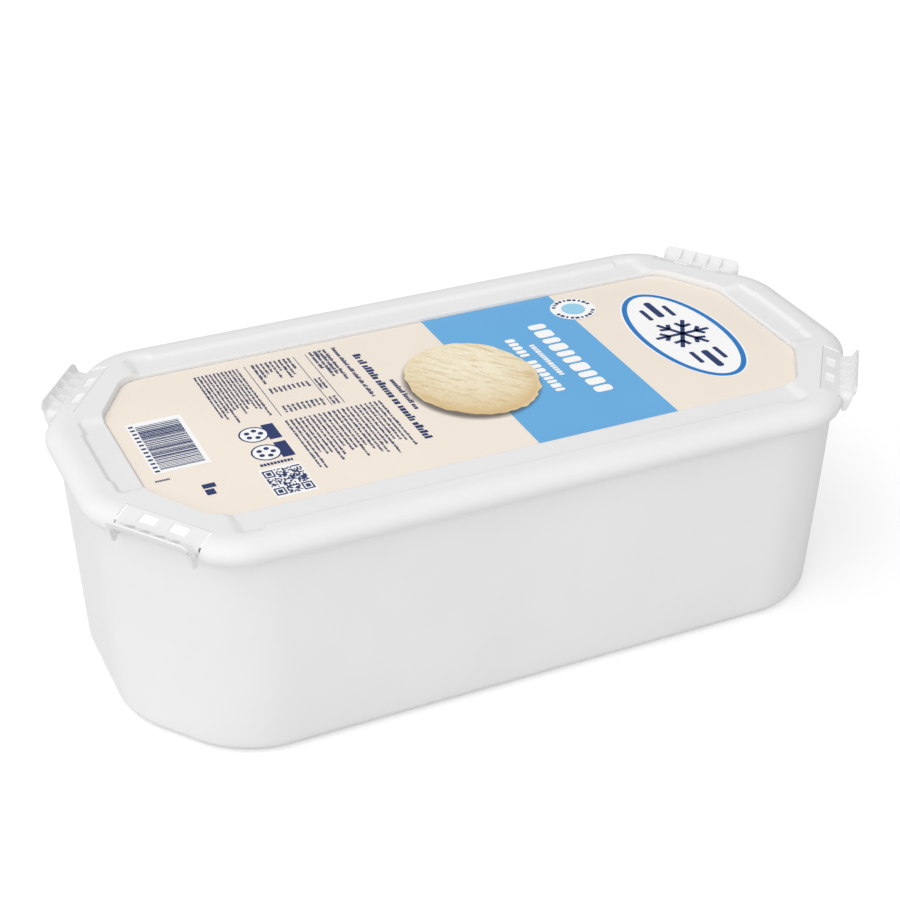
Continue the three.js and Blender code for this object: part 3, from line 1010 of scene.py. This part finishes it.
# Dashes round the badge, with a gap at two opposite places
def addBadgeDashes(bm):
    spec = badgeSpec
    reach = spec["radius"] - spec["dashInset"]
    for step in range(spec["dashes"]):
        angle = math.radians(360 / spec["dashes"] * step)
        place = Matrix.Translation((spec["x"] + reach * math.cos(angle),
                                    spec["y"] + reach * math.sin(angle), inkLevel(topLayer)))
        size = Matrix.Diagonal((spec["dashRise"], spec["dashWidths"][step % 3], 1, 1))
        if step % 12 not in (0, 11):
            addRectangle(bm, place @ Matrix.Rotation(angle, 4, "Z") @ size)


def makeEmblemStar():
    spec = emblemSpec
    x, y = spec["ellipse"][:2]
    bm = bmesh.new()
    addStar(bm, x, y, spec["star"], spec["starWidth"])
    for side in (-1, 1):
        for bar in spec["bars"]:
            addRoundBar(bm, x + bar["x"], y + side * bar["from"], y + side * bar["to"], bar["height"],
                        spec["barRound"])
    addBadgeDashes(bm)
    finishPrint("print_emblem_star", bm, navyInk)


def makeBadge():
    bm = bmesh.new()
    addDisc(bm, badgeSpec["x"], badgeSpec["y"], badgeSpec["disc"], badgeSpec["disc"], topLayer)
    finishPrint("print_badge", bm, paleBlueInk)


# Printed scoop: a flat field with a ragged rim, coloured by scraped ridges and soft shade

scoopSpec = {
    "ellipse": (6.0, 1.5, 28.5, 33.0), "segments": 320, "ragged": 0.9, "waveScale": 0.045,
    "waveHeight": 2.2, "ragScale": 0.21, "ridgeTurn": -0.80, "ridgeStretch": (1.0, 0.15, 1),
    "ridgeScale": 2.4, "crumbScale": 18, "dark": (228, 204, 156), "light": (252, 243, 217),
    "crease": (212, 180, 124), "low": (222, 184, 126), "rim": (244, 228, 190), "shadow": (84, 78, 74),
    "shadowEllipse": (4.7, -0.7, 30.3, 34.8), "shadowSegments": 96,
}


# Place from the middle of an ellipse, with its radii as the unit
def ellipsePlace(tree, place, x, y, radiusX, radiusY):
    return mapPlace(tree, place, (radiusX * mm, radiusY * mm, 1), location=(x * mm, y * mm, 0))


def scoopMaterial():
    spec = scoopSpec
    material, tree, shader = newMaterial("scoopInk")
    place = objectPlace(tree)
    centre = ellipsePlace(tree, place, *spec["ellipse"])
    split = addNode(tree, "ShaderNodeSeparateXYZ")
    tree.links.new(centre, split.inputs[0])
    u, v = split.outputs[0], split.outputs[1]
    radius = mathNode(tree, "SQRT", total(tree, product(tree, u, u), product(tree, v, v)))
    lean = mapPlace(tree, centre, spec["ridgeStretch"], spec["ridgeTurn"])
    ridge = noiseNode(tree, lean, spec["ridgeScale"], detail=6, rough=0.66, warp=0.9)
    crumb = noiseNode(tree, centre, spec["crumbScale"], detail=5, rough=0.75)
    crease = spread(tree, ridge, 0.38, 0.47, 1, 0)
    tone = mathNode(tree, "MULTIPLY_ADD", u, 0.12, product(tree, v, 0.36))
    tone = total(tree, tone, spread(tree, radius, 0.35, 1.0, 0.16, -0.20))
    tone = total(tree, tone, spread(tree, crumb, *midNoise, -0.20, 0.20))
    tone = total(tree, tone, spread(tree, ridge, *midNoise, -0.16, 0.16))
    body = mixColour(tree, spread(tree, tone, -0.45, 0.35), srgb(*spec["dark"]), srgb(*spec["light"]))
    body = mixColour(tree, product(tree, crease, 0.55), body, srgb(*spec["crease"]))
    low = product(tree, spread(tree, v, 0.1, -0.7), spread(tree, radius, 0.78, 0.98, 0, 0.8))
    body = mixColour(tree, low, body, srgb(*spec["low"]))
    body = mixColour(tree, spread(tree, radius, 0.95, 1.0, 0, 0.5), body, srgb(*spec["rim"]))
    tree.links.new(body, shader.inputs["Base Color"])
    tree.links.new(spread(tree, crumb, *midNoise, 0.40, 0.50), shader.inputs["Roughness"])
    addBump(tree, shader, noiseNode(tree, place, 1100), 0.03)
    return material


# Dark ink that fades out at the rim of the shadow
def shadowMaterial():
    material, tree, shader = newMaterial("shadowInk")
    place = objectPlace(tree)
    away = addNode(tree, "ShaderNodeVectorMath", operation="LENGTH")
    flat = addNode(tree, "ShaderNodeVectorMath", operation="MULTIPLY")
    flat.inputs[1].default_value = (1, 1, 0)
    tree.links.new(ellipsePlace(tree, place, *scoopSpec["shadowEllipse"]), flat.inputs[0])
    tree.links.new(flat.outputs[0], away.inputs[0])
    grain = spread(tree, noiseNode(tree, place, 1500), *midNoise, -0.04, 0.04)
    fade = spread(tree, away.outputs["Value"], 0.90, 1.0, 0.62, 0.0)
    alpha = mathNode(tree, "ADD", fade, product(tree, grain, fade), clamp=True)
    tree.links.new(alpha, shader.inputs["Alpha"])
    shader.inputs["Base Color"].default_value = srgb(*scoopSpec["shadow"])
    shader.inputs["Roughness"].default_value = 0.5
    return material


def makeScoop():
    spec = scoopSpec
    bm = bmesh.new()
    for vert in addDisc(bm, *spec["ellipse"], topLayer, spec["segments"]):
        outward = (vert.co - Vector((*spec["ellipse"][:2], vert.co.z))).normalized()
        ragged = spec["ragged"] * (1 + 0.9 * smooth(outward.x - outward.y, 0.2, 1.3))
        wave = noise.noise(vert.co * spec["waveScale"]) * spec["waveHeight"]
        vert.co += outward * (wave + noise.noise(vert.co * spec["ragScale"]) * ragged)
    finishPrint("print_scoop", bm, scoopMaterial())


def makeScoopShadow():
    bm = bmesh.new()
    addDisc(bm, *scoopSpec["shadowEllipse"], shadowLayer, scoopSpec["shadowSegments"])
    finishPrint("print_scoop_shadow", bm, shadowMaterial())


makeLabel()
makeBlueField()
makeNavyPrint()
makeWhitePrint()
makeEmblem()
makeEmblemStar()
makeBadge()
makeScoopShadow()
makeScoop()
print("label and print made")


# Floor, light and camera, in metres, except for the camera's target and distance

floorSpec = {"half": 3.0, "tones": ((225, 225, 225), (228, 228, 228)), "toneScale": 6, "roughness": 0.85,
             "glow": 0.34}
lampSpec = {"name": "keySoftbox", "place": (-0.75, -0.5, 1.45), "aim": (0, 0, 0.06), "size": 1.0,
            "power": 2.7}
roomSpec = {"bright": (-0.62, -0.38, 0.69), "reach": (-0.85, 1), "strength": (0.0, 1.25)}
cameraSpec = {"azimuth": -24.802, "elevation": 30.803, "roll": 0.311, "distance": 769.386,
              "target": (-28.674, -51.366, 106.0), "lens": 75.886, "sensor": 36.0}


# The floor glows to the camera alone, like over-lit paper that lights little
def makeFloor():
    spec = floorSpec
    material, tree, shader = newMaterial("studioFloor")
    tone = spread(tree, noiseNode(tree, objectPlace(tree), spec["toneScale"], detail=3), *midNoise)
    darkTone, lightTone = spec["tones"]
    tree.links.new(mixColour(tree, tone, srgb(*darkTone), srgb(*lightTone)), shader.inputs["Base Color"])
    shader.inputs["Roughness"].default_value = spec["roughness"]
    seen = addNode(tree, "ShaderNodeLightPath").outputs["Is Camera Ray"]
    shader.inputs["Emission Color"].default_value = (1, 1, 1, 1)
    tree.links.new(product(tree, seen, spec["glow"]), shader.inputs["Emission Strength"])
    bm = bmesh.new()
    bmesh.ops.create_grid(bm, x_segments=1, y_segments=1, size=spec["half"])
    floor = meshObject("studio_floor", bm)
    floor.data.materials.append(material)


def makeLamp():
    spec = lampSpec
    light = bpy.data.lights.new(spec["name"], "AREA")
    light.shape = "SQUARE"
    light.size = spec["size"]
    light.energy = spec["power"]
    lamp = bpy.data.objects.new(spec["name"], light)
    lamp.location = spec["place"]
    aim = Vector(spec["aim"]) - Vector(spec["place"])
    lamp.rotation_euler = aim.to_track_quat("-Z", "Y").to_euler()
    bpy.context.scene.collection.objects.link(lamp)
    bpy.context.scene.view_settings.view_transform = "Standard"


# White room that is brightest from the front left and above, and dim behind on the right
def makeRoom():
    world = bpy.data.worlds.new("studio")
    world.use_nodes = True
    tree = world.node_tree
    background = tree.nodes["Background"]
    background.inputs["Color"].default_value = (1, 1, 1, 1)
    aim = addNode(tree, "ShaderNodeVectorMath", operation="DOT_PRODUCT")
    aim.inputs[1].default_value = Vector(roomSpec["bright"]).normalized()
    tree.links.new(addNode(tree, "ShaderNodeTexCoord").outputs["Generated"], aim.inputs[0])
    strength = spread(tree, aim.outputs["Value"], *roomSpec["reach"], *roomSpec["strength"])
    tree.links.new(strength, background.inputs["Strength"])
    bpy.context.scene.world = world


def makeCamera():
    spec = cameraSpec
    azimuth, elevation, roll = (math.radians(spec[key]) for key in ("azimuth", "elevation", "roll"))
    back = Vector((math.sin(azimuth) * math.cos(elevation), -math.cos(azimuth) * math.cos(elevation),
                   math.sin(elevation)))
    right = Vector((math.cos(azimuth), math.sin(azimuth), 0))
    up = back.cross(right)
    across = right * math.cos(roll) + up * math.sin(roll)
    upwards = up * math.cos(roll) - right * math.sin(roll)
    data = bpy.data.cameras.new("camera")
    data.lens = spec["lens"]
    data.sensor_width = spec["sensor"]
    camera = bpy.data.objects.new("camera", data)
    turn = Matrix((across, upwards, back)).transposed().to_4x4()
    place = (Vector(spec["target"]) + back * spec["distance"]) * mm
    camera.matrix_world = Matrix.Translation(place) @ turn
    bpy.context.scene.collection.objects.link(camera)
    bpy.context.scene.camera = camera


makeFloor()
makeLamp()
makeRoom()
makeCamera()
print("stage made")
